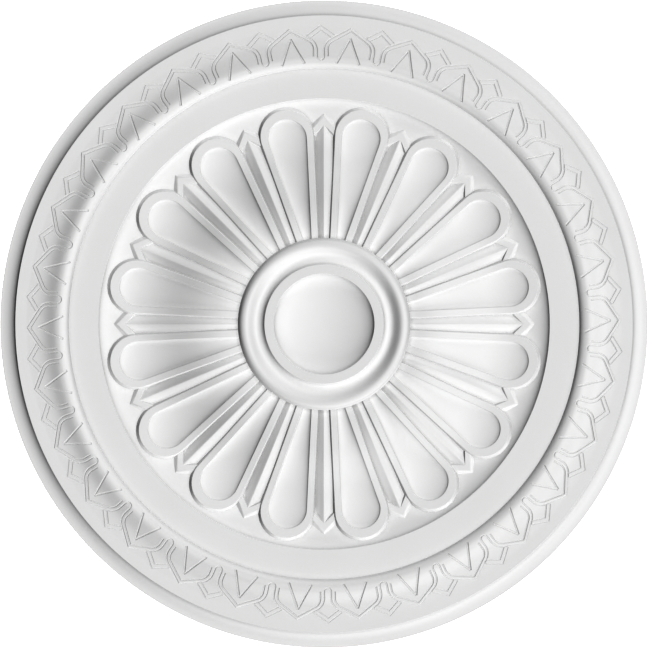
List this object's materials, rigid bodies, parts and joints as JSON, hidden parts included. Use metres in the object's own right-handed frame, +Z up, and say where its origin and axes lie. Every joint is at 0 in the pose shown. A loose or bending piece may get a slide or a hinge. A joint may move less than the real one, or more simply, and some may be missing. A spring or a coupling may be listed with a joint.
{
  "type": "ceiling rose",
  "caption": "Round cast ceiling ornament with fluted petals round a cupped boss, a sunk dish and an outer band of overlapping leaves.",
  "frame": {"origin": "centre of the flat back, where the rose is glued to the ceiling", "axes": "+Z up into the ceiling and square to the flat back, so the decorated face looks down along -Z; +X and +Y lie in the back"},
  "size_m": [0.8599, 0.8599, 0.053],
  "materials": {
    "casting": "matt white primer on a smooth rigid foam casting"
  },
  "bodies": {
    "root": {"ceiling_rose": "casting"}
  },
  "joints": []
}
